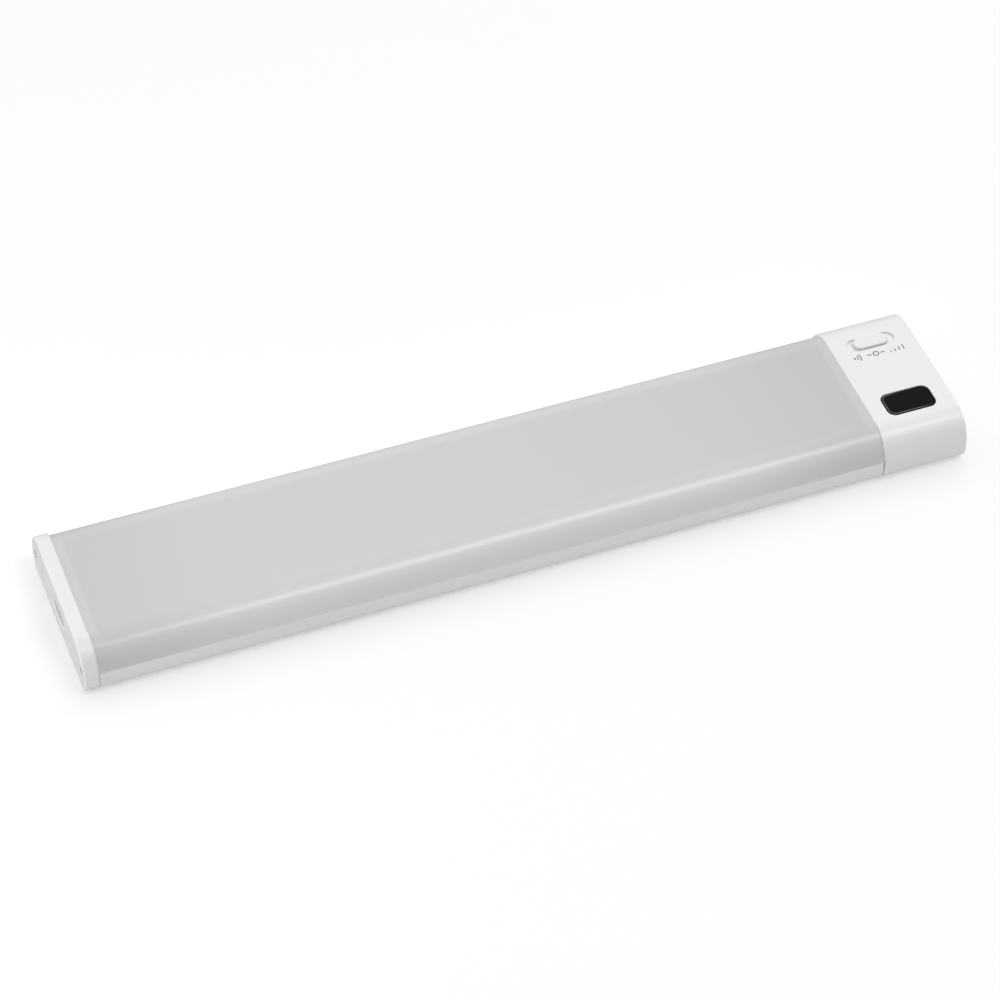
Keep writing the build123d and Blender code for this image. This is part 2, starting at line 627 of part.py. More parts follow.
def make_sensor_shroud():
    hood_x = around(WINDOW_X, SHROUD_LENGTH / 2)
    hood = block(hood_x, around(WINDOW_Y, SHROUD_WIDTH / 2), (CONTROL_BOARD_TOP, SHROUD_TOP_Z))
    for side in (-1, 1):
        well_x = around(WINDOW_X + side * IR_OFFSET, IR_WELL / 2)
        hood -= block(well_x, around(WINDOW_Y, IR_WELL / 2), (CONTROL_BOARD_TOP - 1, SHROUD_TOP_Z + 1))
    return hood


def make_ir_emitter():
    place = Pos(WINDOW_X - IR_OFFSET, WINDOW_Y, CONTROL_BOARD_TOP)
    body = Cylinder(EMITTER_RADIUS, EMITTER_SHOULDER, align=ON_BASE)
    body += Pos(0, 0, EMITTER_SHOULDER) * Sphere(EMITTER_RADIUS)
    rim = Cylinder(EMITTER_RADIUS + EMITTER_RIM, EMITTER_RIM_HEIGHT, align=ON_BASE)
    return place * (body + rim)


def make_ir_receiver():
    place = Pos(WINDOW_X + IR_OFFSET, WINDOW_Y, CONTROL_BOARD_TOP)
    lens = Pos(0, 0, RECEIVER_SIZE[2]) * Sphere(RECEIVER_LENS_RADIUS)
    return place * (Box(*RECEIVER_SIZE, align=ON_BASE) + lens)


def make_wifi_board():
    return block(WIFI_X, WIFI_Y, (CONTROL_BOARD_TOP, CONTROL_BOARD_TOP + BOARD_THICKNESS))


def make_wifi_chip():
    bottom = CONTROL_BOARD_TOP + BOARD_THICKNESS
    return block(WIFI_CHIP_X, WIFI_CHIP_Y, (bottom, bottom + WIFI_CHIP_HEIGHT))


def make_wifi_shield():
    bottom = CONTROL_BOARD_TOP + BOARD_THICKNESS
    can = block(SHIELD_X, SHIELD_Y, (bottom, bottom + SHIELD_HEIGHT))
    can = fillet(can.edges().filter_by(Axis.Z) + can.faces().sort_by(Axis.Z)[-1].edges(), SHIELD_RADIUS)
    wall = SHIELD_WALL
    inside_x = (SHIELD_X[0] + wall, SHIELD_X[1] - wall)
    inside_y = (SHIELD_Y[0] + wall, SHIELD_Y[1] - wall)
    return can - block(inside_x, inside_y, (bottom - 1, bottom + SHIELD_HEIGHT - wall))


def make_controller_chip():
    bottom = CONTROL_BOARD_BOTTOM - CONTROLLER_HEIGHT
    return block(CONTROLLER_X, CONTROLLER_Y, (bottom, CONTROL_BOARD_BOTTOM))


def make_supply_socket():
    return block(SOCKET_X, SOCKET_Y, SOCKET_Z) - make_supply_plug()


def make_supply_plug():
    return block(PLUG_X, (SOCKET_Y[0] + SOCKET_WALL, SOCKET_Y[1] - SOCKET_WALL), PLUG_Z)


def make_battery_lead(side):
    """From the protection board's face to a pad on the charge board."""
    start_x = BATTERY_X[0] - BOARD_THICKNESS
    points = [
        (start_x, side * BATTERY_PAD_Y, ON_CHARGE_BOARD),
        (start_x - BATTERY_LEAD_STRAIGHT, side * BATTERY_PAD_Y, ON_CHARGE_BOARD),
        (start_x - BATTERY_LEAD_STRAIGHT - BATTERY_LEAD_CROSSING, side * CHARGE_PAD_Y, ON_CHARGE_BOARD),
        (CHARGE_BOARD_X[1] - PAD_REACH, side * CHARGE_PAD_Y, ON_CHARGE_BOARD),
    ]
    return lead(points, BATTERY_LEAD_BEND)


def make_supply_lead(offset):
    """From the charge board along the tray beside the battery to the plug under the control board."""
    side_y = SUPPLY_LEAD_Y - offset
    end_y = sum(SOCKET_Y) / 2 + SUPPLY_LEAD_PITCH / 2 - offset
    points = [
        (CHARGE_BOARD_X[1] - PAD_REACH, SUPPLY_PAD_Y - offset, ON_CHARGE_BOARD),
        (CHARGE_BOARD_X[1] + SUPPLY_LEAD_OFF_BOARD, SUPPLY_PAD_Y - offset, ON_CHARGE_BOARD),
        (SUPPLY_LEAD_LAID_X[0], side_y, ON_FLOOR),
        (SUPPLY_LEAD_LAID_X[1], side_y, ON_FLOOR),
        (SUPPLY_LEAD_LEVEL_X, end_y, sum(PLUG_Z) / 2),
        (PLUG_X[0], end_y, sum(PLUG_Z) / 2),
    ]
    return lead(points, SUPPLY_LEAD_BEND)


def make_led_lead(offset):
    """From a pad on the LED board across the joint to the control board."""
    y = LED_LEAD_Y + offset
    high = LED_BOARD_TOP + LEAD_RADIUS
    low = CONTROL_BOARD_TOP + LEAD_RADIUS
    points = [
        (LED_BOARD_X[1] - LED_PAD_REACH, y, high),
        (LED_BOARD_X[1] + LED_LEAD_OFF_BOARD, y, high),
        (CONTROL_BOARD_X[0] - CONTROL_LEAD_OFF_BOARD, y, low),
        (CONTROL_BOARD_X[0] + CONTROL_PAD_REACH, y, low),
    ]
    return lead(points, LED_LEAD_BEND)


def all_parts():
    """Every piece of the light by name."""
    return {
        "base_tray": make_base_tray(),
        "diffuser": make_diffuser(),
        "usb_end_cap": make_usb_end_cap(),
        "control_cap": make_control_cap(),
        "usb_cap_screws": make_usb_cap_screws(),
        "control_cap_screws": make_control_cap_screws(),
        "magnets": make_magnets(),
        "led_board": make_led_board(),
        "led_chips": make_led_chips(),
        "led_resistors": make_led_resistors(),
        "battery_tape": make_battery_tape(),
        "battery_cell": make_battery_cell(),
        "battery_protection_board": make_battery_protection_board(),
        "charge_board": make_charge_board(),
        "charger_chip": make_charger_chip(),
        "charge_inductor": make_charge_inductor(),
        "usb_shell": make_usb_shell(),
        "usb_tongue": make_usb_tongue(),
        "control_board": make_control_board(),
        "control_board_screws": make_control_board_screws(),
        "switch_case": make_switch_case(),
        "switch_base": make_switch_base(),
        "switch_terminals": make_switch_terminals(),
        "switch_wiper": make_switch_wiper(),
        "switch_actuator": make_switch_actuator(),
        "switch_knob": make_switch_knob(),
        "sensor_window": make_sensor_window(),
        "sensor_shroud": make_sensor_shroud(),
        "ir_emitter": make_ir_emitter(),
        "ir_receiver": make_ir_receiver(),
        "wifi_board": make_wifi_board(),
        "wifi_chip": make_wifi_chip(),
        "wifi_shield": make_wifi_shield(),
        "controller_chip": make_controller_chip(),
        "supply_socket": make_supply_socket(),
        "supply_plug": make_supply_plug(),
        "battery_lead_red": make_battery_lead(-1),
        "battery_lead_black": make_battery_lead(1),
        "supply_lead_red": make_supply_lead(0),
        "supply_lead_black": make_supply_lead(SUPPLY_LEAD_PITCH),
        "led_lead_red": make_led_lead(0),
        "led_lead_black": make_led_lead(LED_LEAD_PITCH),
    }


os.makedirs("parts", exist_ok=True)
for name, shape in all_parts().items():
    export_step(shape, f"parts/{name}.step")
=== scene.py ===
import json
import math

import bmesh
import bpy
from mathutils import Matrix, Vector


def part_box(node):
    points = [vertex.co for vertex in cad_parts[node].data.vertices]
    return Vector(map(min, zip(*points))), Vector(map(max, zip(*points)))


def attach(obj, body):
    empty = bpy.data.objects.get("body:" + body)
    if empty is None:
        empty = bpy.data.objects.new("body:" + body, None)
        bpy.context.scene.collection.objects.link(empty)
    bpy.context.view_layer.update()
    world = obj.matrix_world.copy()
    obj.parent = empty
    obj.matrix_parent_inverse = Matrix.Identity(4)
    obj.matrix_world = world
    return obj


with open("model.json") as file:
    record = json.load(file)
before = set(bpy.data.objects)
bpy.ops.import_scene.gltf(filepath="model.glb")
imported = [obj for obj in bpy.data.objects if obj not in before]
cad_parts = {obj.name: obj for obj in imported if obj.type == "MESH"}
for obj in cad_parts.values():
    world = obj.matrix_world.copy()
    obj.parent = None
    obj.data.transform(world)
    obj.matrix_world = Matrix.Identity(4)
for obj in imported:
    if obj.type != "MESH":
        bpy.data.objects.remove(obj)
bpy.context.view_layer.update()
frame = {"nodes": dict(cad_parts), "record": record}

MM = 0.001
WHITE = (1.0, 1.0, 1.0)

# Camera: where it stands, which way it looks, and its lens
CAMERA_PLACE = Vector((-0.19619, -0.49187, 0.56907))
CAMERA_AZIMUTH = math.radians(-21.588)
CAMERA_ELEVATION = math.radians(46.895)
CAMERA_ROLL = math.radians(1.292)
LENS_MM = 129.385
SENSOR_MM = 36.0
CLIP_START = 0.01

# Moulded plastic: the size of its changes of tone and of shine, and its slow waves
PLASTIC_TONE_MM = 9.0
PLASTIC_SHINE_MM = 2.5
PLASTIC_SHINE_SPREAD = 0.04
PLASTIC_WAVE_MM = 6.0
PLASTIC_WAVE_DEPTH_MM = 0.01
GRAIN_STRENGTH = 0.5
WAVE_STRENGTH = 0.4

# White shells and knob
SHELL_COLOUR = (0.85, 0.85, 0.85)
SHELL_ROUGHNESS = 0.24
SHELL_SCATTER = 0.15
SHELL_SCATTER_DEPTH = 0.8 * MM
KNOB_COLOUR = (0.84, 0.84, 0.84)
KNOB_ROUGHNESS = 0.34

# Milky cover: how pale its top is, its sides painted paler, painted shade and painted light near the
# caps, and its top painted dimmer towards the control end
COVER_TOP_LEVEL = 0.622
COVER_PAINTED_SIDE_LEVEL = 0.745
COVER_SIDE_Y = (12.3 * MM, 16.5 * MM)
COVER_PAINTED_DIM_X = (-0.03, 0.075)
COVER_PAINTED_DIM = 0.05
COVER_PAINTED_SHADE_REACH = 0.038
COVER_PAINTED_SHADE_TOP = 0.06
COVER_PAINTED_SHADE_SIDE = 0.15
COVER_LIP_PAINTED_LIGHT = 0.06
COVER_LIP_REACH = (1.5 * MM, 2.6 * MM)
COVER_TONE_MM = 14.0
COVER_TONE_RANGE = (0.992, 1.008)
COVER_SHINE_MM = 3.0
COVER_ROUGHNESS = (0.18, 0.23)
COVER_SPECULAR = 0.4
COVER_GRAIN_MM = 0.25
COVER_GRAIN_DEPTH_MM = 0.001
COVER_WAVE_MM = 8.0
COVER_WAVE_DEPTH_MM = 0.006

# Sensor window: how dark it is, and the painted highlight inside its edge, clearest on the left and in
# front
WINDOW_TONE = 0.005
WINDOW_HIGHLIGHT_TONE = 0.24
WINDOW_HIGHLIGHT_INSET = 0.42 * MM
WINDOW_HIGHLIGHT_HALF_WIDTH = 0.13 * MM
WINDOW_SIZE = (11.5 * MM, 6.6 * MM)
WINDOW_CORNER = 1.9 * MM
WINDOW_HIGHLIGHT_FADE = (-3.0 * MM, 2.0 * MM)
WINDOW_ROUGHNESS = 0.16
WINDOW_SPECULAR = 0.04
WINDOW_GRAIN_MM = 0.3
WINDOW_GRAIN_DEPTH_MM = 0.0005
WINDOW_TONE_SPREAD = 0.05

# Plated metal: its changes of tone and of shine, and its scratches
METAL_TONE_MM = 1.5
METAL_TONE_RANGE = (0.9, 1.05)
METAL_SHINE_MM = 0.4
METAL_SHINE_SPREAD = 0.08
SCRATCH_MM = 0.15
SCRATCH_STRETCH = (1.0, 8.0, 1.0)
SCRATCH_DEPTH_MM = 0.002
SCRATCH_STRENGTH = 0.5

# Circuit boards: the raised lines of copper under the solder mask
BOARD_LINE_SCALE = 4.0 * MM
BOARD_GROUND_TONE = 0.75
BOARD_SHINE_MM = 1.0
BOARD_ROUGHNESS = (0.35, 0.5)
BOARD_LINE_DEPTH_MM = 0.03

# Printed marks beside the switch: their ink, their places, their sizes and how proud they stand
MARK_COLOUR = (0.19, 0.19, 0.19)
MARK_Y = 6.3 * MM
MARK_HEIGHT = 1.5 * MM
MARK_LINE = 0.26 * MM
MARK_RELIEF = 0.02 * MM
MARK_STEPS = 16
MOTION_X = 84.45 * MM
MOTION_RADII = (0.75 * MM, 1.45 * MM)
MOTION_HALF_ANGLE = 0.7
OFF_X = 89.55 * MM
OFF_RADIUS = 0.62 * MM
OFF_DASH = (1.05 * MM, 2.05 * MM)
WIRELESS_X = 93.0 * MM
WIRELESS_PITCH = 1.05 * MM
WIRELESS_BARS = 4

# Gold contacts on the charging inlet's tongue
CONTACT_COUNT = 12
CONTACT_PITCH = 0.5 * MM
CONTACT_SIZE = (3.6 * MM, 0.26 * MM, 0.02 * MM)
CONTACT_SETBACK = 0.3 * MM
CONTACT_CORNER = 0.06 * MM
CONTACT_CORNER_STEPS = 2
TONGUE_THICKNESS = 0.7 * MM

# Softboxes: a key in front, a weaker one behind, and a low card that lights the USB end
KEY_PLACE = Vector((0.34, -0.405, 1.08))
KEY_SIZE = (0.58, 0.28)
KEY_TURN = math.radians(-12)
KEY_RADIANCE = 4.6
REAR_PLACE = Vector((0.45, 0.66, 1.10))
REAR_SIZE = (0.90, 0.56)
REAR_RADIANCE = 0.70
CARD_PLACE = Vector((-0.36, 0.0, 0.035))
CARD_SIZE = (0.20, 0.20)
CARD_RADIANCE = 2.4

# Surroundings: their brightness low and high, how they lean to the back, and the grey table under them
SKY_LOW = 0.08
SKY_HIGH = 1.24
SKY_TILT = 0.30
SKY_SPAN = (-0.10, 0.95)
SKY_BELOW = 0.48
SKY_HORIZON = (0.0, -0.12)

# Floor
FLOOR_SIZE = 6.0
FLOOR_TONE = 0.74
FLOOR_GLOW = 0.27
FLOOR_ROUGHNESS = 0.9


# ---------------------------------------------------------------- node helpers
class Nodes:
    """A material's node tree with short ways to add and join nodes."""

    def __init__(self, name):
        self.material = bpy.data.materials.new(name)
        self.material.use_nodes = True
        self.tree = self.material.node_tree
        self.tree.nodes.clear()
        self.shader = self.add("ShaderNodeBsdfPrincipled")
        output = self.add("ShaderNodeOutputMaterial")
        self.join(self.shader.outputs[0], output.inputs["Surface"])
        self.place = self.add("ShaderNodeTexCoord").outputs["Object"]

    def add(self, kind, **settings):
        node = self.tree.nodes.new(kind)
        for key, value in settings.items():
            setattr(node, key, value)
        return node

    def join(self, output, socket):
        self.tree.links.new(output, socket)

    def set(self, **values):
        """Sets the shader's own sockets, such as base_color or coat_weight."""
        for key, value in values.items():
            socket = key.replace("_", " ").title().replace("Ior", "IOR")
            self.shader.inputs[socket].default_value = value

    def noise(self, feature_mm, detail=2.0, stretch=None):
        """Noise whose features are about this size."""
        node = self.add("ShaderNodeTexNoise")
        node.inputs["Scale"].default_value = 1.0 / (feature_mm * MM)
        node.inputs["Detail"].default_value = detail
        source = self.place
        if stretch:
            mapping = self.add("ShaderNodeMapping")
            mapping.inputs["Scale"].default_value = stretch
            self.join(source, mapping.inputs["Vector"])
            source = mapping.outputs[0]
        self.join(source, node.inputs["Vector"])
        return node.outputs["Fac"]

    def split_place(self):
        """The point on the object as its three coordinates."""
        node = self.add("ShaderNodeSeparateXYZ")
        self.join(self.place, node.inputs[0])
        return node

    def remap(self, value, low, high, source_low=0.0, source_high=1.0, smooth=False):
        node = self.add("ShaderNodeMapRange")
        if smooth:
            node.interpolation_type = "SMOOTHSTEP"
        node.inputs["From Min"].default_value = source_low
        node.inputs["From Max"].default_value = source_high
        node.inputs["To Min"].default_value = low
        node.inputs["To Max"].default_value = high
        self.join(value, node.inputs["Value"])
        return node.outputs["Result"]

    def math(self, operation, a, b=0.0):
        node = self.add("ShaderNodeMath", operation=operation)
        for socket, value in zip(node.inputs, (a, b)):
            if isinstance(value, (int, float)):
                socket.default_value = value
            else:
                self.join(value, socket)
        return node.outputs[0]

    def tint(self, colour, factor):
        """A colour multiplied by a grey factor."""
        node = self.add("ShaderNodeVectorMath", operation="SCALE")
        node.inputs[0].default_value = colour
        self.join(factor, node.inputs["Scale"])
        return node.outputs[0]

    def bump(self, height, distance_mm, strength=1.0):
        """Adds a bump of this height on top of those already there."""
        node = self.add("ShaderNodeBump")
        node.inputs["Strength"].default_value = strength
        node.inputs["Distance"].default_value = distance_mm * MM
        self.join(height, node.inputs["Height"])
        normal = self.shader.inputs["Normal"]
        if normal.is_linked:
            self.join(normal.links[0].from_socket, node.inputs["Normal"])
        self.join(node.outputs[0], normal)


# ---------------------------------------------------------------- materials
def moulded_plastic(name, colour, roughness, grain_mm=0.12, grain_depth_mm=0.002, vary=0.02):
    """Satin moulded plastic: a fine tool grain, a slow waviness and a slight change of tone."""
    m = Nodes(name)
    spread = PLASTIC_SHINE_SPREAD
    tone = m.remap(m.noise(PLASTIC_TONE_MM, detail=3.0), 1.0 - vary, 1.0 + vary)
    shine = m.remap(m.noise(PLASTIC_SHINE_MM, detail=4.0), roughness - spread, roughness + spread)
    m.join(m.tint(colour, tone), m.shader.inputs["Base Color"])
    m.join(shine, m.shader.inputs["Roughness"])
    m.bump(m.noise(grain_mm), grain_depth_mm, GRAIN_STRENGTH)
    m.bump(m.noise(PLASTIC_WAVE_MM, detail=1.0), PLASTIC_WAVE_DEPTH_MM, WAVE_STRENGTH)
    m.set(specular_ior_level=0.5)
    return m


def shell_material():
    """White plastic that lets a little light in."""
    m = moulded_plastic("white_shell", SHELL_COLOUR, SHELL_ROUGHNESS)
    m.set(subsurface_weight=SHELL_SCATTER, subsurface_radius=(1.0, 1.0, 1.0))
    m.set(subsurface_scale=SHELL_SCATTER_DEPTH)
    return m.material


def cover_material():
    """Milky polycarbonate, with what stands behind it faintly showing through.

    Its colour is painted paler where its sides curve down to the white tray and over each cap's white
    lip, with painted shade beyond the lips, where the LED board stops short of the caps, and its top is
    painted dimmer towards the control end.
    """
    m = Nodes("milky_cover")
    low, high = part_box("diffuser")
    split = m.split_place()
    from_left = m.math("SUBTRACT", split.outputs["X"], low.x)
    from_right = m.math("SUBTRACT", high.x, split.outputs["X"])
    to_cap = m.math("MINIMUM", from_left, from_right)
    side = m.remap(m.math("ABSOLUTE", split.outputs["Y"]), 0.0, 1.0, *COVER_SIDE_Y)
    # painted shade over the cover's last few centimetres before each cap, where the LED board stops
    # short, deeper on the sides
    near_cap = m.remap(to_cap, 1.0, 0.0, 0.0, COVER_PAINTED_SHADE_REACH, smooth=True)
    painted_cap_shade = m.math("MULTIPLY", near_cap, m.remap(side, COVER_PAINTED_SHADE_TOP, COVER_PAINTED_SHADE_SIDE))
    # painted light on the cover's top just beside each cap, over the cap's white lip
    lip = m.remap(to_cap, COVER_LIP_PAINTED_LIGHT, 0.0, *COVER_LIP_REACH, smooth=True)
    lip = m.math("MULTIPLY", lip, m.remap(side, 1.0, 0.0))
    # the cover's sides are painted paler than its top, as if lit through from the white tray
    painted_side_level = m.remap(side, COVER_TOP_LEVEL, COVER_PAINTED_SIDE_LEVEL)
    # painted shade that dims the cover's top towards the control end, where the light falls off
    painted_dim = m.remap(split.outputs["X"], 0.0, COVER_PAINTED_DIM, *COVER_PAINTED_DIM_X, smooth=True)
    painted_dim = m.math("MULTIPLY", painted_dim, m.remap(side, 1.0, 0.0))
    # all the cover's painted light and shade, gathered into one factor
    painted_light_and_shade = m.math("SUBTRACT", m.math("ADD", m.math("SUBTRACT", 1.0, painted_cap_shade), lip), painted_dim)
    mottle = m.remap(m.noise(COVER_TONE_MM, detail=3.0), *COVER_TONE_RANGE)
    tone = m.math("MULTIPLY", m.math("MULTIPLY", painted_side_level, painted_light_and_shade), mottle)
    m.join(m.tint(WHITE, tone), m.shader.inputs["Base Color"])
    shine = m.remap(m.noise(COVER_SHINE_MM, detail=3.0), *COVER_ROUGHNESS)
    m.join(shine, m.shader.inputs["Roughness"])
    m.set(specular_ior_level=COVER_SPECULAR)
    m.bump(m.noise(COVER_GRAIN_MM), COVER_GRAIN_DEPTH_MM, GRAIN_STRENGTH)
    m.bump(m.noise(COVER_WAVE_MM, detail=1.0), COVER_WAVE_DEPTH_MM, WAVE_STRENGTH)
    return m.material


def window_material():
    """Smoked acrylic, polished, with a painted highlight just inside its edge, as from a rounded rim."""
    m = moulded_plastic("smoked_window", WHITE, WINDOW_ROUGHNESS,
                        WINDOW_GRAIN_MM, WINDOW_GRAIN_DEPTH_MM, WINDOW_TONE_SPREAD)
    low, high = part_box("sensor_window")
    middle = (low + high) / 2
    split = m.split_place()
    along = m.math("SUBTRACT", split.outputs["X"], middle.x)
    across = m.math("SUBTRACT", split.outputs["Y"], middle.y)
    beyond = []
    for offset, size in zip((along, across), WINDOW_SIZE):
        beyond.append(m.math("SUBTRACT", m.math("ABSOLUTE", offset), size / 2 - WINDOW_CORNER))
    corner = [m.math("POWER", m.math("MAXIMUM", value), 2.0) for value in beyond]
    outside = m.math("SQRT", m.math("ADD", *corner))
    inside = m.math("MINIMUM", m.math("MAXIMUM", *beyond))
    from_edge = m.math("SUBTRACT", WINDOW_CORNER, m.math("ADD", outside, inside))
    from_highlight = m.math("ABSOLUTE", m.math("SUBTRACT", from_edge, WINDOW_HIGHLIGHT_INSET))
    # a painted highlight: a pale band just inside the window's edge, fading out towards the back and the
    # right
    line = m.remap(from_highlight, 1.0, 0.0, 0.0, WINDOW_HIGHLIGHT_HALF_WIDTH, smooth=True)
    facing = m.math("MULTIPLY", m.math("ADD", along, across), -1.0)
    line = m.math("MULTIPLY", line, m.remap(facing, 0.0, 1.0, *WINDOW_HIGHLIGHT_FADE, smooth=True))
    tone = m.remap(line, WINDOW_TONE, WINDOW_HIGHLIGHT_TONE)
    m.join(m.tint(WHITE, tone), m.shader.inputs["Base Color"])
    m.set(specular_ior_level=WINDOW_SPECULAR)
    return m.material


def metal(name, colour, roughness):
    """Plated metal with fine scratches and a slightly uneven shine."""
    m = Nodes(name)
    m.set(metallic=1.0)
    spread = METAL_SHINE_SPREAD
    tone = m.remap(m.noise(METAL_TONE_MM, detail=4.0), *METAL_TONE_RANGE)
    shine = m.remap(m.noise(METAL_SHINE_MM, detail=5.0), roughness - spread, roughness + spread)
    m.join(m.tint(colour, tone), m.shader.inputs["Base Color"])
    m.join(shine, m.shader.inputs["Roughness"])
    scratches = m.noise(SCRATCH_MM, detail=3.0, stretch=SCRATCH_STRETCH)
    m.bump(scratches, SCRATCH_DEPTH_MM, SCRATCH_STRENGTH)
    return m.material


def circuit_board(name, colour):
    """Solder mask over copper: lines a little raised, with a darker ground between them."""
    m = Nodes(name)
    lines = m.add("ShaderNodeTexBrick")
    lines.inputs["Scale"].default_value = 1.0 / BOARD_LINE_SCALE
    m.join(m.place, lines.inputs["Vector"])
    tone = m.remap(lines.outputs["Fac"], 1.0, BOARD_GROUND_TONE)
    m.join(m.tint(colour, tone), m.shader.inputs["Base Color"])
    m.join(m.remap(m.noise(BOARD_SHINE_MM), *BOARD_ROUGHNESS), m.shader.inputs["Roughness"])
    m.bump(lines.outputs["Fac"], BOARD_LINE_DEPTH_MM)
    return m.material


def plain(name, colour, roughness, grain_mm=0.3, depth_mm=0.01, vary=0.08):
    """A coarser, more uneven plastic, for the pieces inside."""
    return moulded_plastic(name, colour, roughness, grain_mm, depth_mm, vary).material


def make_materials():
    """One material for each of the record's material slots."""
    return {
        "white_shell": shell_material(),
        "white_knob": moulded_plastic("white_knob", KNOB_COLOUR, KNOB_ROUGHNESS).material,
        "milky_cover": cover_material(),
        "smoked_window": window_material(),
        "screw_steel": metal("screw_steel", (0.32, 0.32, 0.33), 0.35),
        "nickel": metal("nickel", (0.66, 0.65, 0.63), 0.28),
        "copper": metal("copper", (0.75, 0.45, 0.25), 0.3),
        "battery_foil": metal("battery_foil", (0.6, 0.61, 0.63), 0.4),
        "white_board": circuit_board("white_board", (0.8, 0.8, 0.79)),
        "green_board": circuit_board("green_board", (0.03, 0.2, 0.09)),
        "led_package": plain("led_package", (0.8, 0.72, 0.35), 0.5),
        "black_plastic": plain("black_plastic", (0.02, 0.02, 0.02), 0.45),
        "foam_tape": plain("foam_tape", (0.75, 0.75, 0.73), 0.8, grain_mm=0.2, depth_mm=0.05),
        "phenolic": plain("phenolic", (0.3, 0.17, 0.08), 0.5),
        "clear_epoxy": plain("clear_epoxy", (0.35, 0.4, 0.45), 0.08),
        "connector_white": plain("connector_white", (0.75, 0.74, 0.68), 0.45),
        "red_insulation": plain("red_insulation", (0.5, 0.02, 0.02), 0.4),
        "black_insulation": plain("black_insulation", (0.02, 0.02, 0.02), 0.4),
    }


def dress_cad_nodes(materials):
    """Gives every CAD node the material of its slot in the record."""
    for part in frame["record"]["subparts"]:
        node = frame["nodes"][part["node"]]
        material = materials[part["material_slot"]]
        if not node.material_slots:
            node.data.materials.append(material)
        for slot in node.material_slots:
            slot.material = material


# ---------------------------------------------------------------- pieces
class Strokes:
    """A flat printed mark: strokes of one width, standing a hair proud of the surface."""

    def __init__(self, bottom, top, width):
        self.bm = bmesh.new()
        self.bottom = bottom
        self.top = top
        self.half = width / 2

    def line(self, points, closed=False):
        """A stroke along these points of the XY plane, closed into a ring when asked."""
        points = [Vector(point) for point in points]
        count = len(points)
        rings = []
        for i, point in enumerate(points):
            before = points[i - 1] if closed or i else point
            after = points[(i + 1) % count] if closed or i < count - 1 else point
            along = (after - before).normalized()
            side = Vector((-along.y, along.x)) * self.half
            edges = ((point - side, self.bottom), (point + side, self.bottom),
                     (point + side, self.top), (point - side, self.top))
            rings.append([self.bm.verts.new((spot.x, spot.y, z)) for spot, z in edges])
        following = rings[1:] + rings[:1] if closed else rings[1:]
        for low, high in zip(rings, following):
            for k in range(4):
                self.bm.faces.new((low[k], low[(k + 1) % 4], high[(k + 1) % 4], high[k]))
        if not closed:
            self.bm.faces.new(rings[0])
            self.bm.faces.new(list(reversed(rings[-1])))

    def arc(self, centre, radius, start, end, closed=False):
        """A stroke round part or all of a circle."""
        count = MARK_STEPS if closed else MARK_STEPS + 1
        angles = [start + (end - start) * i / MARK_STEPS for i in range(count)]
        x, y = centre
        self.line([(x + radius * math.cos(a), y + radius * math.sin(a)) for a in angles], closed)


def mesh_piece(name, bm, material, body):
    """Turns a bmesh into a piece with this material that rides on this body."""
    bmesh.ops.recalc_face_normals(bm, faces=bm.faces)
    mesh = bpy.data.meshes.new(name)
    bm.to_mesh(mesh)
    bm.free()
    mesh.materials.append(material)
    piece = bpy.data.objects.new(name, mesh)
    bpy.context.collection.objects.link(piece)
    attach(piece, body)


def make_switch_marks(ink):
    """Plain pictures for the three switch positions: motion waves, a ring for off and rising bars."""
    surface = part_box("control_cap")[1].z
    marks = Strokes(surface, surface + MARK_RELIEF, MARK_LINE)
    bottom = MARK_Y - MARK_HEIGHT / 2
    marks.arc((MOTION_X, MARK_Y), MARK_LINE / 2, 0, 2 * math.pi, closed=True)
    for radius in MOTION_RADII:
        marks.arc((MOTION_X, MARK_Y), radius, -MOTION_HALF_ANGLE, MOTION_HALF_ANGLE)
    marks.arc((OFF_X, MARK_Y), OFF_RADIUS, 0, 2 * math.pi, closed=True)
    for side in (-1, 1):
        marks.line([(OFF_X + side * reach, MARK_Y) for reach in OFF_DASH])
    for i in range(WIRELESS_BARS):
        x = WIRELESS_X + i * WIRELESS_PITCH
        marks.line([(x, bottom), (x, bottom + MARK_HEIGHT * (i + 1) / WIRELESS_BARS)])
    mesh_piece("switch_marks", marks.bm, ink, "housing")


def make_usb_contacts(gold):
    """The rows of gold contacts on both faces of the inlet's tongue."""
    low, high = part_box("usb_tongue")
    middle = (low.z + high.z) / 2
    length, width, thickness = CONTACT_SIZE
    bm = bmesh.new()
    for side in (-1, 1):
        z = middle + side * (TONGUE_THICKNESS + thickness) / 2
        for i in range(CONTACT_COUNT):
            y = (i - (CONTACT_COUNT - 1) / 2) * CONTACT_PITCH
            place = Matrix.Translation((low.x + CONTACT_SETBACK + length / 2, y, z))
            bmesh.ops.create_cube(bm, matrix=place @ Matrix.Diagonal((length, width, thickness, 1)))
    upright = [edge for edge in bm.edges if abs((edge.verts[0].co - edge.verts[1].co).z) > thickness / 2]
    bmesh.ops.bevel(bm, geom=upright, offset=CONTACT_CORNER,
                    segments=CONTACT_CORNER_STEPS, affect="EDGES")
    mesh_piece("usb_contacts", bm, gold, "housing")


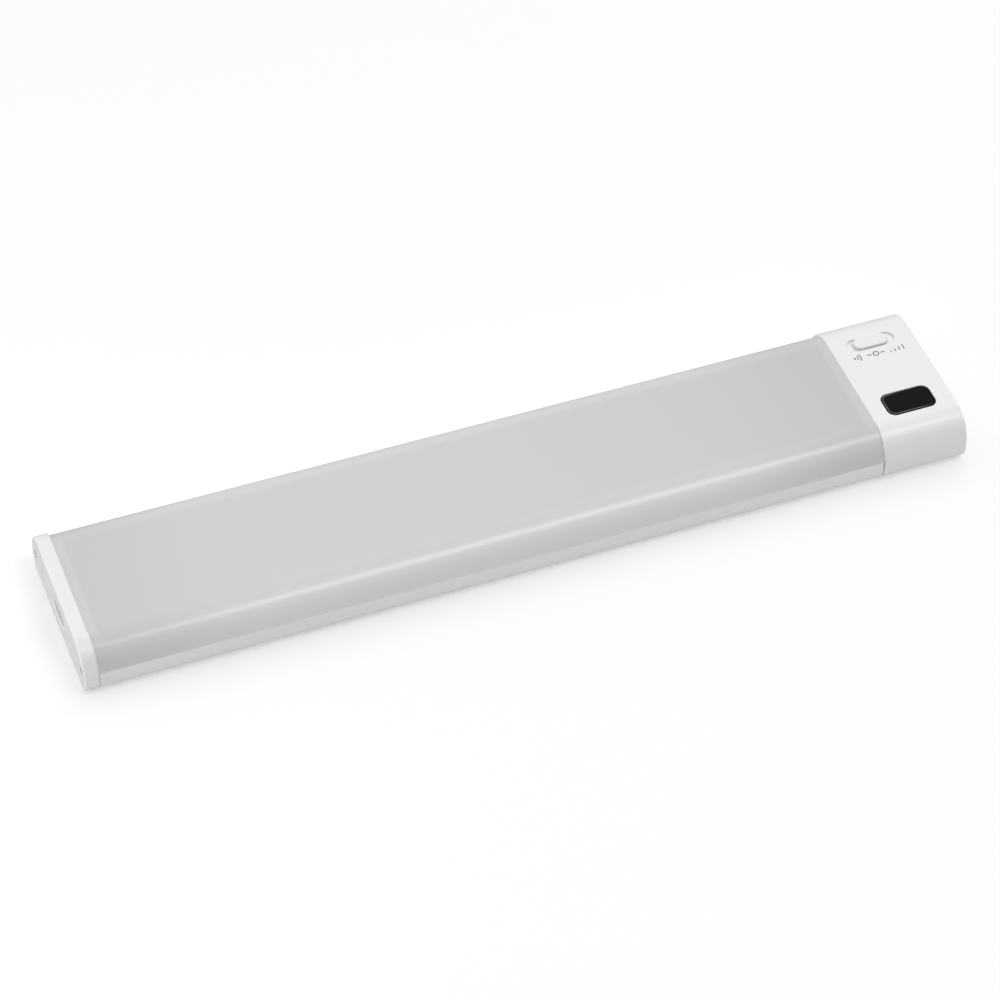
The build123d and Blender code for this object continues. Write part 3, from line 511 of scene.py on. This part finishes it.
# ---------------------------------------------------------------- studio
def make_world():
    """Soft studio surroundings, brightest overhead and a little behind, over a grey table."""
    world = bpy.data.worlds.new("studio")
    world.use_nodes = True
    bpy.context.scene.world = world
    tree = world.node_tree
    tree.nodes.clear()
    output = tree.nodes.new("ShaderNodeOutputWorld")
    background = tree.nodes.new("ShaderNodeBackground")
    direction = tree.nodes.new("ShaderNodeTexCoord")
    split = tree.nodes.new("ShaderNodeSeparateXYZ")
    ramp = tree.nodes.new("ShaderNodeMapRange")
    ramp.interpolation_type = "SMOOTHSTEP"
    lean = tree.nodes.new("ShaderNodeMath")
    lean.operation = "MULTIPLY_ADD"
    lean.inputs[1].default_value = SKY_TILT
    ramp.inputs["From Min"].default_value = SKY_SPAN[0]
    ramp.inputs["From Max"].default_value = SKY_SPAN[1]
    ramp.inputs["To Min"].default_value = SKY_LOW
    ramp.inputs["To Max"].default_value = SKY_HIGH
    tree.links.new(direction.outputs["Generated"], split.inputs[0])
    tree.links.new(split.outputs["Y"], lean.inputs[0])
    tree.links.new(split.outputs["Z"], lean.inputs[2])
    tree.links.new(lean.outputs[0], ramp.inputs["Value"])
    table = tree.nodes.new("ShaderNodeMapRange")
    table.inputs["From Min"].default_value = SKY_HORIZON[0]
    table.inputs["From Max"].default_value = SKY_HORIZON[1]
    tree.links.new(split.outputs["Z"], table.inputs["Value"])
    strength = tree.nodes.new("ShaderNodeMix")
    strength.inputs["B"].default_value = SKY_BELOW
    tree.links.new(table.outputs["Result"], strength.inputs["Factor"])
    tree.links.new(ramp.outputs["Result"], strength.inputs["A"])
    tree.links.new(strength.outputs["Result"], background.inputs["Strength"])
    tree.links.new(background.outputs[0], output.inputs["Surface"])


def make_softbox(name, place, size, radiance, turn=0.0):
    """A rectangular light of this brightness, facing the middle of the object."""
    light = bpy.data.lights.new(name, "AREA")
    light.shape = "RECTANGLE"
    light.size, light.size_y = size
    light.energy = radiance * math.pi * size[0] * size[1]
    softbox = bpy.data.objects.new(name, light)
    softbox.location = place
    aim = (-place).to_track_quat("-Z", "Y").to_matrix()
    softbox.rotation_euler = (aim @ Matrix.Rotation(turn, 3, "Z")).to_euler()
    bpy.context.collection.objects.link(softbox)


def make_floor():
    """A pale floor that glows a little, and that the object's gloss doesn't mirror."""
    mesh = bpy.data.meshes.new("floor")
    half = FLOOR_SIZE / 2
    corners = [(-half, -half, 0), (half, -half, 0), (half, half, 0), (-half, half, 0)]
    mesh.from_pydata(corners, [], [(0, 1, 2, 3)])
    floor = bpy.data.objects.new("floor", mesh)
    bpy.context.collection.objects.link(floor)
    m = Nodes("floor")
    m.set(base_color=(FLOOR_TONE, FLOOR_TONE, FLOOR_TONE, 1), roughness=FLOOR_ROUGHNESS)
    m.set(specular_ior_level=0.0, emission_color=(1, 1, 1, 1), emission_strength=FLOOR_GLOW)
    mesh.materials.append(m.material)
    floor.visible_glossy = False


def make_camera():
    """The camera at its place, turned to its azimuth, elevation and roll."""
    camera = bpy.data.cameras.new("camera")
    camera.lens = LENS_MM
    camera.sensor_width = SENSOR_MM
    camera.clip_start = CLIP_START
    a, e, r = CAMERA_AZIMUTH, CAMERA_ELEVATION, CAMERA_ROLL
    back = Vector((math.sin(a) * math.cos(e), -math.cos(a) * math.cos(e), math.sin(e)))
    painted_side_level = Vector((math.cos(a), math.sin(a), 0))
    upright = back.cross(painted_side_level)
    right = math.cos(r) * painted_side_level + math.sin(r) * upright
    up = -math.sin(r) * painted_side_level + math.cos(r) * upright
    turn = Matrix((right, up, back)).transposed()
    thing = bpy.data.objects.new("camera", camera)
    thing.matrix_world = Matrix.Translation(CAMERA_PLACE) @ turn.to_4x4()
    bpy.context.collection.objects.link(thing)
    bpy.context.scene.camera = thing


make_camera()
make_world()
make_softbox("key", KEY_PLACE, KEY_SIZE, KEY_RADIANCE, KEY_TURN)
make_softbox("rear", REAR_PLACE, REAR_SIZE, REAR_RADIANCE)
make_softbox("card", CARD_PLACE, CARD_SIZE, CARD_RADIANCE)
make_floor()
bpy.context.scene.view_settings.view_transform = "Standard"
materials = make_materials()
dress_cad_nodes(materials)
make_switch_marks(plain("mark_ink", MARK_COLOUR, 0.5, grain_mm=0.2, depth_mm=0.002))
make_usb_contacts(metal("contact_gold", (0.83, 0.6, 0.25), 0.25))
